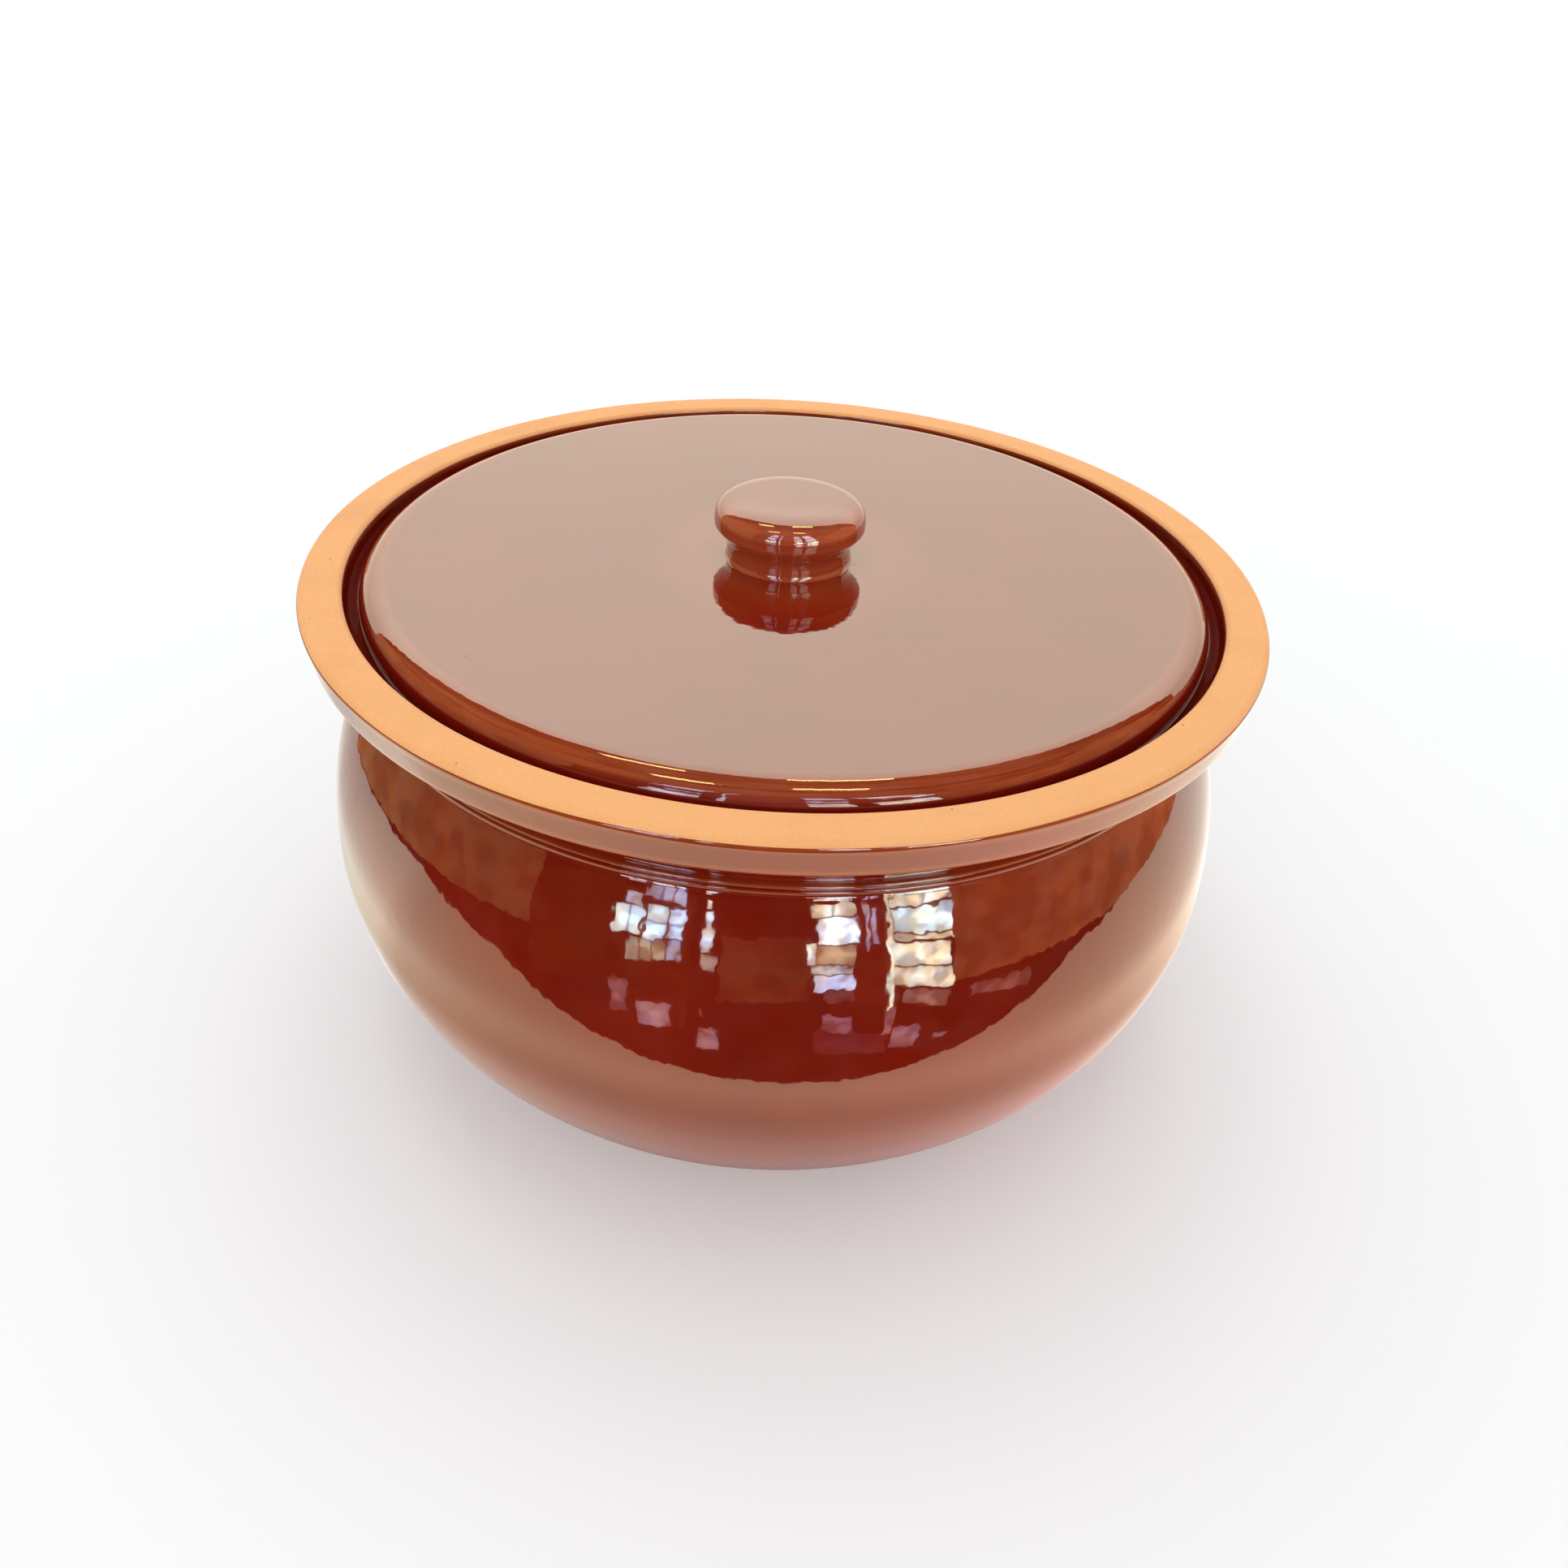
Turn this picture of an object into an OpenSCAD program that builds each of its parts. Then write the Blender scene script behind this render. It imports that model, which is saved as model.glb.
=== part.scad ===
// Round-bellied earthenware casserole with a bare clay rim, a lid let into the
// rim and a turned knob. Millimetres, +Z up, origin on the table under the axis.
// Every piece is a turned form: an outline in the r-z plane, swung round Z.

/* [Pot] */
// Height from the table to the bare rim
pot_h = 158; // [120:1:200]
// How far the belly swells out past the shoulder, on each side
belly_out = 13.8; // [6:0.2:24]
// Height of the widest place of the belly
belly_h = 78; // [60:1:95]
// Diameter of the flat the pot stands on
base_d = 178; // [150:1:200]
// How far the shoulder stands out past the neck, under the fine beads
shoulder_out = 1.2; // [0.6:0.1:1.8]
// Depth of the shoulder below the rim
shoulder_drop = 27; // [25:0.5:34]
// Thickness of the belly wall
wall = 7; // [5:0.5:9]
// Thickness of the floor
floor_t = 9; // [6:0.5:12]
// How far the flat floor inside ends within the base, on each side
floor_in = 1; // [0:0.5:14]
// Radius of the corner between the floor and the wall inside
floor_edge_r = 12; // [2:1:16]
// Width of the ring that the pot stands on
foot_w = 14; // [8:1:30]
// Depth of the hollow inside that ring
foot_hollow = 1.6; // [0.8:0.2:4]
// Width of the slope from that ring into the hollow
foot_slope_w = 3; // [1:0.5:8]
// Radius of the outer edge of the base
base_edge_r = 6; // [1:1:12]

/* [Rim] */
// Outside diameter of the bare rim
rim_d = 280; // [270:1:300]
// Width of the bare rim, from its outside to the mouth
rim_w = 12.5; // [8:0.5:16]
// Width of the ledge that carries the lid
ledge_w = 12.5; // [9:0.5:16]
// Height of the throat below the ledge
throat_h = 12; // [8:1:16]
// Height of the outer band of the rim
band_h = 11; // [8:0.5:13]
// How far the band leans in over its height
band_lean = 1.8; // [0:0.2:2.4]
// Radius of the bare outer edge
rim_edge_r = 2.4; // [1:0.2:4]
// Radius of the bare inner edge
mouth_edge_r = 1.8; // [1:0.2:3]
// Radius of the lower edge of the band
band_edge_r = 2.6; // [1:0.2:4]
// Radius of the cove between mouth and ledge
ledge_corner_r = 4.4; // [0.5:0.1:5]
// Radius of the inner edge of the ledge
ledge_edge_r = 2.2; // [1:0.2:4]

/* [Neck] */
// How far the neck lies in from the rim's outside
neck_in = 16.5; // [14:0.5:19]
// Height of the straight neck above the beads
neck_h = 2.5; // [1:0.5:5]
// Radius of the hollow between the neck and the rim
neck_hollow_r = 4; // [1:0.5:6]
// Number of fine beads round the neck
bead_count = 2; // [1:1:3]
// Distance from bead to bead
bead_pitch = 1.6; // [1.4:0.1:2]
// Radius of a bead
bead_r = 0.7; // [0.4:0.1:0.7]
// How far a bead stands out of the neck
bead_out = 2.1; // [1.2:0.1:2.6]

/* [Lid] */
// Clearance all round between the lid and the mouth
lid_gap = 3.6; // [1:0.2:6]
// Height of the lid's flat top above the rim
lid_proud = 1.4; // [-2:0.2:4]
// Thickness of the lid where it rests
lid_t = 10.5; // [9:0.5:14]
// Width of the rounding of the lid's top edge
lid_edge_w = 8.5; // [3:0.5:12]
// Height of the rounding of the lid's top edge
lid_edge_h = 6.5; // [3:0.5:7]
// Radius of the lid's lower edge
lid_foot_r = 1.4; // [0.5:0.1:1.6]
// Width of the flat ring under the lid that rests on the ledge
lid_seat_w = 11; // [8:1:20]
// Depth of the hollow under the lid
lid_hollow = 1.8; // [1:0.2:3]
// Width of the slope from that ring into the hollow
lid_slope_w = 3; // [1:0.5:8]

/* [Knob] */
// Largest diameter of the knob's cap
knob_d = 44.4; // [42:0.2:52]
// Height of the knob above the lid
knob_h = 18.2; // [16:0.2:24]
// Height of the cap's widest place
knob_wide_h = 10.4; // [10.2:0.2:14]
// Height of the crease under the cap
knob_crease_h = 9.2; // [8:0.2:10]
// How far the crease lies in from the cap's widest place
knob_crease_in = 0.5; // [0.3:0.1:2.6]
// How far the neck's narrowest place lies in from the cap's widest place
knob_neck_in = 4.1; // [3:0.1:6]
// Height of that place
knob_neck_h = 4.8; // [3:0.2:6]
// Radius of the hollow of the neck
knob_neck_r = 6; // [2:0.5:10]
// How far the foot that is luted on to the lid lies in from there
knob_foot_in = 3.6; // [2:0.1:4]

/* [Hidden] */

$fn = 180;
curve_steps = 26;
edge_steps = 8;

// A fillet takes at most this share of the shorter side next to it.
fillet_share = 0.9;
// Power of the sine and cosine that draw the cap: 1 is an ellipse, less is fuller.
cap_round_share = 0.57;
// The cap's side swings this far under its widest place, to the crease.
crease_angle = 50;

pot_glaze = "#7a2410";
lid_glaze = "#a5583a";
knob_glaze = "#96401c";

rim_r = rim_d / 2;
mouth_r = rim_r - rim_w;
throat_r = mouth_r - ledge_w;
neck_r = rim_r - neck_in;
shoulder_r = neck_r + shoulder_out;
belly_r = shoulder_r + belly_out;
inner_r = belly_r - wall;
base_r = base_d / 2;
floor_r = base_r - floor_in;
lid_r = mouth_r - lid_gap;
knob_r = knob_d / 2;

shoulder_z = pot_h - shoulder_drop;
neck_z = shoulder_z + bead_count * bead_pitch;
lid_top_z = pot_h + lid_proud;
seat_z = lid_top_z - lid_t;
throat_z = seat_z - throat_h;

function unit(v) = v / norm(v);

// The shorter way round from angle a to angle b.
function turn(a, b) = (b - a) - 360 * round((b - a) / 360);

// Arc of an ellipse with half axes rx and ry round centre c.
function arc(c, rx, ry, a0, a1, steps) =
    [for (i = [0 : steps])
        let (a = a0 + (a1 - a0) * i / steps)
        [c.x + rx * cos(a), c.y + ry * sin(a)]];

// Corner b between a and c, rounded with radius r, or less where a side is short.
function rounded(a, b, c, r) =
    let (
        u = unit(a - b),
        v = unit(c - b),
        half = acos(u * v) / 2,
        room = fillet_share * min(norm(a - b), norm(c - b)) * tan(half),
        fillet = min(r, room),
        centre = b + unit(u + v) * fillet / sin(half),
        p = b + u * fillet / tan(half) - centre,
        q = b + v * fillet / tan(half) - centre,
        a0 = atan2(p.y, p.x),
        a1 = a0 + turn(a0, atan2(q.y, q.x))
    )
    arc(centre, fillet, fillet, a0, a1, edge_steps);

// Half height of the ellipse that has its greatest radius, wide, at height
// wide_z and passes through radius r at height z.
function half_height(wide, wide_z, r, z) = abs(z - wide_z) / sqrt(1 - pow(r / wide, 2));

// That ellipse between its greatest radius and radius r at height z, from the
// lower end to the upper one.
function belly_curve(wide, wide_z, r, z) =
    let (
        half = half_height(wide, wide_z, r, z),
        a = asin((z - wide_z) / half)
    )
    arc([0, wide_z], wide, half, min(a, 0), max(a, 0), curve_steps);

function reversed(list) = [for (i = [len(list) - 1 : -1 : 0]) list[i]];

// A list without its first point.
function tail(list) = [for (i = [1 : len(list) - 1]) list[i]];

// The fine beads, one half round above the other.
function neck_beads() =
    let (bead_x = neck_r + bead_out - bead_r)
    [for (i = [0 : bead_count - 1])
        let (bead_z = shoulder_z + (i + 1 / 2) * bead_pitch)
        each arc([bead_x, bead_z], bead_r, bead_r, -90, 90, edge_steps)];

// The foot: a ring round a shallow hollow.
function pot_foot() =
    let (ring_in = base_r - foot_w)
    [[0, foot_hollow], [ring_in - foot_slope_w, foot_hollow], [ring_in, 0]];

// The pot's outside, from the foot's edge up over the rim.
function pot_outside() =
    let (
        lower = belly_curve(belly_r, belly_h, base_r, 0),
        upper = belly_curve(belly_r, belly_h, shoulder_r, shoulder_z),
        neck_foot = [neck_r, neck_z],
        neck_top = [neck_r, neck_z + neck_h],
        band_foot = [rim_r - band_lean, pot_h - band_h],
        band_top = [rim_r, pot_h - rim_edge_r]
    )
    concat(
        rounded([base_r - foot_w, 0], [base_r, 0], lower[1], base_edge_r),
        tail(lower),
        tail(upper),
        neck_beads(),
        [neck_foot],
        rounded(neck_foot, neck_top, band_foot, neck_hollow_r),
        rounded(neck_top, band_foot, band_top, band_edge_r),
        arc(band_top - [rim_edge_r, 0], rim_edge_r, rim_edge_r, 0, 90, edge_steps)
    );

// The pot's inside, from the mouth over the ledge down to the floor.
function pot_inside() =
    let (
        rim_top = [rim_r - rim_edge_r, pot_h],
        mouth = [mouth_r, pot_h],
        ledge_out = [mouth_r, seat_z],
        ledge_in = [throat_r, seat_z],
        throat = [throat_r, throat_z],
        floor_out = [floor_r, floor_t],
        upper = reversed(belly_curve(inner_r, belly_h, throat_r, throat_z)),
        lower = reversed(belly_curve(inner_r, belly_h, floor_r, floor_t))
    )
    concat(
        rounded(rim_top, mouth, ledge_out, mouth_edge_r),
        rounded(mouth, ledge_out, ledge_in, ledge_corner_r),
        rounded(ledge_out, ledge_in, throat, ledge_edge_r),
        upper,
        [for (i = [1 : curve_steps - 1]) lower[i]],
        rounded(lower[curve_steps - 1], floor_out, [0, floor_t], floor_edge_r),
        [[0, floor_t]]
    );

module pot() {
    color(pot_glaze)
        rotate_extrude()
            polygon(concat(pot_foot(), pot_outside(), pot_inside()));
}

// The lid: a thick disc with a rounded top edge, hollowed a little underneath.
module lid() {
    seat_in = [lid_r - lid_seat_w, seat_z];
    hollow_out = [seat_in.x - lid_slope_w, seat_z + lid_hollow];
    edge_foot = [lid_r, seat_z];
    edge_top = [lid_r, lid_top_z - lid_edge_h];
    color(lid_glaze)
        rotate_extrude()
            polygon(concat(
                [[0, hollow_out.y], hollow_out, seat_in],
                rounded(seat_in, edge_foot, edge_top, lid_foot_r),
                arc(edge_top - [lid_edge_w, 0], lid_edge_w, lid_edge_h, 0, 90, curve_steps),
                [[0, lid_top_z]]
            ));
}

// The knob's cap above its widest place: a quarter of a superellipse.
function knob_crown() =
    let (rise = knob_h - knob_wide_h)
    [for (i = [0 : curve_steps])
        let (a = 90 * i / curve_steps)
        [knob_r * pow(cos(a), cap_round_share),
            knob_wide_h + rise * pow(sin(a), cap_round_share)]];

// The knob: a crowned cap with a crease under it, on a waisted neck.
module knob() {
    crease = [knob_r - knob_crease_in, knob_crease_h];
    neck = [knob_r - knob_neck_in, knob_neck_h];
    foot = [knob_r - knob_foot_in, 0];
    side_w = knob_crease_in / (1 - cos(crease_angle));
    side_h = (knob_wide_h - knob_crease_h) / sin(crease_angle);
    side_c = [knob_r - side_w, knob_wide_h];
    color(knob_glaze)
        translate([0, 0, lid_top_z])
            rotate_extrude()
                polygon(concat(
                    [[0, 0], foot],
                    rounded(foot, neck, crease, knob_neck_r),
                    arc(side_c, side_w, side_h, -crease_angle, 0, edge_steps),
                    tail(knob_crown())
                ));
}

pot();
lid();
knob();
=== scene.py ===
"""The finish of a round-bellied earthenware casserole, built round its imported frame.

Every piece is a turned form: an outline in the r-z plane swung round +Z, worked
out as whole numpy arrays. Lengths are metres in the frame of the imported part.
"""

import logging
import math
from abc import ABC, abstractmethod
from dataclasses import dataclass, field
from enum import Enum
from typing import Any, Optional, Union

import bpy
import numpy as np
from mathutils import Matrix, Vector


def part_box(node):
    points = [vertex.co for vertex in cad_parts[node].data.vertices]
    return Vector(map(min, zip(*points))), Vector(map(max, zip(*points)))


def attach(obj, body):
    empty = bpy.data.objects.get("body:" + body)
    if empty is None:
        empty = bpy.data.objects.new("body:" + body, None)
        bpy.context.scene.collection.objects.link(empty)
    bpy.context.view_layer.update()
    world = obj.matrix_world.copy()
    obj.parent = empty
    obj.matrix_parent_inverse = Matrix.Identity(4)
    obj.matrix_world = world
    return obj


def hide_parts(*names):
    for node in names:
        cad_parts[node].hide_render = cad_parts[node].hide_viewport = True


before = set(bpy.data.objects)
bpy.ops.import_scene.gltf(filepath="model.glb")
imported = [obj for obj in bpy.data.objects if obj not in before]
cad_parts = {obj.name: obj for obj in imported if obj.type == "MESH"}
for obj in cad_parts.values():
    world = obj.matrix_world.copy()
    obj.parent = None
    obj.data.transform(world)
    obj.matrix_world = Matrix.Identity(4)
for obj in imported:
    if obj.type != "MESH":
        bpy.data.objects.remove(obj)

log = logging.getLogger("casserole")

Pair = tuple[float, float]
Array = np.ndarray
Place = Union[Pair, Array]
Tree = bpy.types.NodeTree
Piece = bpy.types.Object

MM = 0.001
COLUMNS = 240
# The angle of each column of a turned form, from the seam at the back
TURN = math.pi / 2 + np.arange(COLUMNS) * math.tau / COLUMNS
# Half width of the window over which an edge's bend thins the glaze
THIN_REACH = 1.2 * MM


class Ends(Enum):
    """How a turned form's rows end."""

    POLES = "first and last rows lie on the axis"
    LOOP = "the last row joins the first"


def linear(hex_colour: str) -> tuple[float, float, float, float]:
    """Turns an sRGB hex colour into a linear one.

    Each channel c is c / 12.92 below 0.04045, and ((c + 0.055) / 1.055) ** 2.4 above.

    Args:
        hex_colour: Six hex digits after a number sign.

    Returns:
        Linear red, green and blue, and an alpha of 1.
    """
    channels = np.array([int(hex_colour[i : i + 2], 16) for i in (1, 3, 5)]) / 255
    low = channels / 12.92
    high = ((channels + 0.055) / 1.055) ** 2.4
    red, green, blue = np.where(channels <= 0.04045, low, high).tolist()
    return red, green, blue, 1.0


def add_node(
    tree: Tree, kind: str, inputs: Optional[dict[Any, Any]] = None, **settings: Any
) -> bpy.types.Node:
    """Adds one node with its settings and links.

    Args:
        tree: The node tree that takes the node.
        kind: The node's type after ShaderNode, such as Bump.
        inputs: Input name or number to a value, or to what is linked: a socket,
            or a node for its first output in use.
        **settings: Attributes of the node itself.

    Returns:
        The new node.
    """
    node = tree.nodes.new("ShaderNode" + kind)
    for name, value in settings.items():
        setattr(node, name, value)
    for name, value in (inputs or {}).items():
        if isinstance(value, bpy.types.Node):
            value = next(output for output in value.outputs if output.enabled)
        if isinstance(value, bpy.types.NodeSocket):
            tree.links.new(value, node.inputs[name])
        else:
            node.inputs[name].default_value = value
    return node


def emptied_tree(owner: Any) -> Tree:
    """Switches on the nodes of a material or a world and clears them away.

    Args:
        owner: The material or the world.

    Returns:
        Its empty node tree.
    """
    owner.use_nodes = True
    owner.node_tree.nodes.clear()
    return owner.node_tree


def placed(name: str, data: Any) -> Piece:
    """Puts a new object into the scene.

    Args:
        name: The object's name.
        data: Its mesh, light or camera.

    Returns:
        The object.
    """
    made = bpy.data.objects.new(name, data)
    bpy.context.scene.collection.objects.link(made)
    return made


@dataclass(frozen=True)
class Finish(ABC):
    """A finish that can be made into a material, for one slot."""

    name: str
    slot: str

    @abstractmethod
    def look(self, tree: Tree) -> dict[str, Any]:
        """Adds the finish's nodes to a tree and gives the shader's inputs."""

    def layered(self, tree: Tree, lowest: str, layers: list[tuple[Any, str]]) -> Any:
        """Lays colours over a lowest one.

        Args:
            tree: The material's node tree.
            lowest: The lowest colour, in hex.
            layers: For each next colour its share, as an output, and its hex.

        Returns:
            The mixed colour.
        """
        mixed: Any = linear(lowest)
        for share, colour in layers:
            mixed = add_node(tree, "Mix", {0: share, 6: mixed, 7: linear(colour)}, data_type="RGBA")
        return mixed

    def relief(self, tree: Tree, heights: list[tuple[Any, float]]) -> bpy.types.Node:
        """Chains heights into one bump.

        Args:
            tree: The material's node tree.
            heights: Each height, as an output, and its depth.

        Returns:
            The last bump.
        """
        inputs: dict[str, Any] = {}
        for height, depth in heights:
            inputs.update({"Height": height, "Distance": depth})
            inputs["Normal"] = add_node(tree, "Bump", inputs)
        return inputs["Normal"]

    def material(self) -> bpy.types.Material:
        """Makes the material.

        Returns:
            A material with a Principled shader that has the finish's look; the
            same one each time.
        """
        if self.name in bpy.data.materials:
            return bpy.data.materials[self.name]
        made = bpy.data.materials.new(self.name)
        tree = emptied_tree(made)
        shader = add_node(tree, "BsdfPrincipled", self.look(tree))
        add_node(tree, "OutputMaterial", {"Surface": shader})
        return made


@dataclass(frozen=True)
class IronRedGlaze(Finish):
    """A dipped, glossy iron-red lead-type glaze, fired over red earthenware.

    The eye sees a deep red-brown under a mirror of high index. It is thicker and
    darker in hollows, breaks to orange where it is thin on an edge, lies slightly
    uneven, and has a few pinholes left by gas. These are drawn as wide as the
    largest, 1 mm, because most are too fine to show.
    """

    thick: str = "#7E1708"
    thin: str = "#9A3E1A"
    dark: str = "#4E0D06"
    index: float = 1.62
    roughness: float = 0.035
    cloud_size: float = 38 * MM
    cloud_strength: float = 0.35
    cloud_noise: Pair = (0.42, 0.68)
    pull_size: float = 11 * MM
    pull_depth: float = 0.05 * MM
    peel_size: float = 4 * MM
    peel_depth: float = 0.034 * MM
    pinhole_spacing: float = 13 * MM
    pinhole_radius: float = 0.5 * MM
    pinhole_floor: float = 0.175 * MM
    pinhole_depth: float = 0.12 * MM
    pinhole_dark: float = 0.8
    pinhole_rarity: float = 0.4

    def look(self, tree: Tree) -> dict[str, Any]:
        """Adds the glaze's colour, its uneven surface and its pinholes.

        A cell of the pinholes' pattern has a pit where its random number is high.

        Args:
            tree: The material's node tree.

        Returns:
            The shader's inputs.
        """
        place = add_node(tree, "TexCoord").outputs["Object"]
        # The thinness attribute also carries painted light: a painted reflection round the knob and painted
        # shade low on the lid's edge, and painted light under the knob's cap
        thinness = add_node(tree, "Attribute", attribute_name="thinness").outputs["Fac"]
        cloud = add_node(tree, "TexNoise", {"Vector": place, "Scale": 1 / self.cloud_size, "Detail": 3.0})
        low, high = self.cloud_noise
        clouds = add_node(tree, "MapRange", {0: cloud, 1: low, 2: high, 4: self.cloud_strength})
        cells = add_node(tree, "TexVoronoi", {"Vector": place, "Scale": 1 / self.pinhole_spacing})
        pit_floor = self.pinhole_floor / self.pinhole_spacing
        pit_edge = self.pinhole_radius / self.pinhole_spacing
        pit = add_node(tree, "MapRange", {0: cells, 1: pit_floor, 2: pit_edge, 3: 1.0, 4: 0.0})
        lottery = add_node(tree, "SeparateColor", {0: cells.outputs["Color"]})
        kept = add_node(tree, "Math", {0: lottery, 1: self.pinhole_rarity}, operation="GREATER_THAN")
        hole = add_node(tree, "Math", {0: pit, 1: kept}, operation="MULTIPLY")
        stain = add_node(tree, "Math", {0: hole, 1: self.pinhole_dark}, operation="MULTIPLY")
        heights = [(add_node(tree, "Math", {0: 1.0, 1: hole}, operation="SUBTRACT"), self.pinhole_depth)]
        for size, depth in ((self.pull_size, self.pull_depth), (self.peel_size, self.peel_depth)):
            noise = add_node(tree, "TexNoise", {"Vector": place, "Scale": 1 / size, "Detail": 1.0})
            heights.append((noise, depth))
        layers = [(thinness, self.thin), (clouds, self.dark), (stain, self.dark)]
        return {
            "Base Color": self.layered(tree, self.thick, layers),
            "Roughness": self.roughness,
            "IOR": self.index,
            "Normal": self.relief(tree, heights),
        }


@dataclass(frozen=True)
class BareTerracotta(Finish):
    """Unglazed red earthenware, fired pale orange and wiped with a wet sponge.

    The eye sees a matte, chalky orange with soft clouds, fine grog, a few dark
    flecks and the faint rings that the sponge leaves on the wheel. The grog, about
    0.4 mm across, and the rings are drawn coarser than they are, so that they show.
    """

    body: str = "#F5AF6C"
    pale: str = "#FCC286"
    burnt: str = "#E39A5E"
    fleck: str = "#8C4A28"
    roughness: float = 0.88
    cloud_size: float = 26 * MM
    burnt_share: float = 0.45
    burnt_noise: Pair = (0.5, 0.75)
    grain_size: float = 1.1 * MM
    grain_depth: float = 0.05 * MM
    pale_share: float = 0.35
    pale_noise: Pair = (0.45, 0.8)
    fleck_spacing: float = 9 * MM
    fleck_radius: float = 0.22 * MM
    fleck_blur: float = 1.8
    fleck_share: float = 0.7
    ring_pitch: float = 1.3 * MM
    ring_depth: float = 0.02 * MM

    def look(self, tree: Tree) -> dict[str, Any]:
        """Adds the clay's clouds, flecks and grain, and its sponge rings.

        A ring's height is the sine of the distance from the axis.

        Args:
            tree: The material's node tree.

        Returns:
            The shader's inputs.
        """
        place = add_node(tree, "TexCoord").outputs["Object"]
        cloud = add_node(tree, "TexNoise", {"Vector": place, "Scale": 1 / self.cloud_size, "Detail": 4.0})
        low, high = self.burnt_noise
        burnt = add_node(tree, "MapRange", {0: cloud, 1: low, 2: high, 4: self.burnt_share})
        grain = add_node(tree, "TexNoise", {"Vector": place, "Scale": 1 / self.grain_size, "Detail": 3.0})
        low, high = self.pale_noise
        pale = add_node(tree, "MapRange", {0: grain, 1: low, 2: high, 4: self.pale_share})
        cells = add_node(tree, "TexVoronoi", {"Vector": place, "Scale": 1 / self.fleck_spacing})
        radius = self.fleck_radius / self.fleck_spacing
        fades = {0: cells, 1: radius, 2: self.fleck_blur * radius, 3: self.fleck_share, 4: 0.0}
        flecks = add_node(tree, "MapRange", fades)
        flat = add_node(tree, "VectorMath", {0: place, 1: (1.0, 1.0, 0.0)}, operation="MULTIPLY")
        distance = add_node(tree, "VectorMath", {0: flat}, operation="LENGTH")
        turns = add_node(tree, "Math", {0: distance, 1: math.tau / self.ring_pitch}, operation="MULTIPLY")
        rings = add_node(tree, "Math", {0: turns}, operation="SINE")
        layers = [(burnt, self.burnt), (pale, self.pale), (flecks, self.fleck)]
        return {
            "Base Color": self.layered(tree, self.body, layers),
            "Roughness": self.roughness,
            "Normal": self.relief(tree, [(grain, self.grain_depth), (rings, self.ring_depth)]),
        }


def arc(centre: Place, radii: Place, start: float, end: float, count: int) -> Array:
    """Points of an elliptical arc, centre + (a cos t, b sin t), from t = start to end in degrees."""
    turn = np.radians(np.linspace(start, end, count))
    return np.column_stack((centre[0] + radii[0] * np.cos(turn), centre[1] + radii[1] * np.sin(turn)))


def rounded(before: Place, corner: Place, after: Place, radius: float, count: int = 9) -> Array:
    """Points of a fillet: an arc tangent to both sides of a corner.

    Its centre lies on the corner's bisector at radius / sin(half the corner), and
    the radius is held to what 0.9 of the shorter side takes.

    Args:
        before: The point before the corner.
        corner: The corner.
        after: The point after it.
        radius: The fillet's radius.
        count: How many points there are.

    Returns:
        An array of count points.
    """
    sides = np.array([before, after], float) - np.array(corner, float)
    lengths = np.linalg.norm(sides, axis=1)
    sides /= lengths[:, None]
    half = math.acos(float(np.clip(sides[0] @ sides[1], -1, 1))) / 2
    radius = min(radius, 0.9 * float(lengths.min()) * math.tan(half))
    bisector = sides.sum(0) / np.linalg.norm(sides.sum(0))
    to_centre = bisector * radius / math.sin(half)
    first, last = sides * radius / math.tan(half) - to_centre
    start = math.atan2(first[1], first[0])
    sweep = math.atan2(last[1], last[0]) - start
    sweep -= math.tau * round(sweep / math.tau)
    centre = np.array(corner, float) + to_centre
    return arc(centre, (radius, radius), math.degrees(start), math.degrees(start + sweep), count)


def belly(wide: float, wide_z: float, r: float, z: float, count: int) -> Array:
    """Points of the ellipse round (0, wide_z) from its greatest radius, wide, to (r, z)."""
    half = abs(z - wide_z) / math.sqrt(1 - (r / wide) ** 2)
    return arc((0.0, wide_z), (wide, half), 0.0, math.degrees(math.asin((z - wide_z) / half)), count)


@dataclass(frozen=True)
class Unevenness:
    """The slight waviness of a turned and glazed surface.

    The height is a sum of sines of the place along seeded directions, each with
    its own wavelength, and is never above zero.
    """

    longest: float
    shortest: float
    height: float
    waves: int
    seed: int

    def at(self, points: Array) -> Array:
        """Works out the height at places.

        Args:
            points: Places, with x, y and z in the last axis.

        Returns:
            The height along the normal at each place, zero or less.
        """
        draw = np.random.default_rng(self.seed)
        ways = draw.normal(size=(self.waves, 3))
        ways /= np.linalg.norm(ways, axis=1)[:, None]
        lengths = np.geomspace(self.longest, self.shortest, self.waves)
        phases = draw.uniform(0, math.tau, self.waves)
        turns = points @ (ways * (math.tau / lengths)[:, None]).T + phases
        shares = lengths / lengths.sum()
        return self.height * ((np.sin(turns) * shares).sum(-1) - 1) / 2


SWELL = Unevenness(longest=150 * MM, shortest=60 * MM, height=0.22 * MM, waves=6, seed=11)
PULL = Unevenness(longest=34 * MM, shortest=16 * MM, height=0.03 * MM, waves=14, seed=23)


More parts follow.
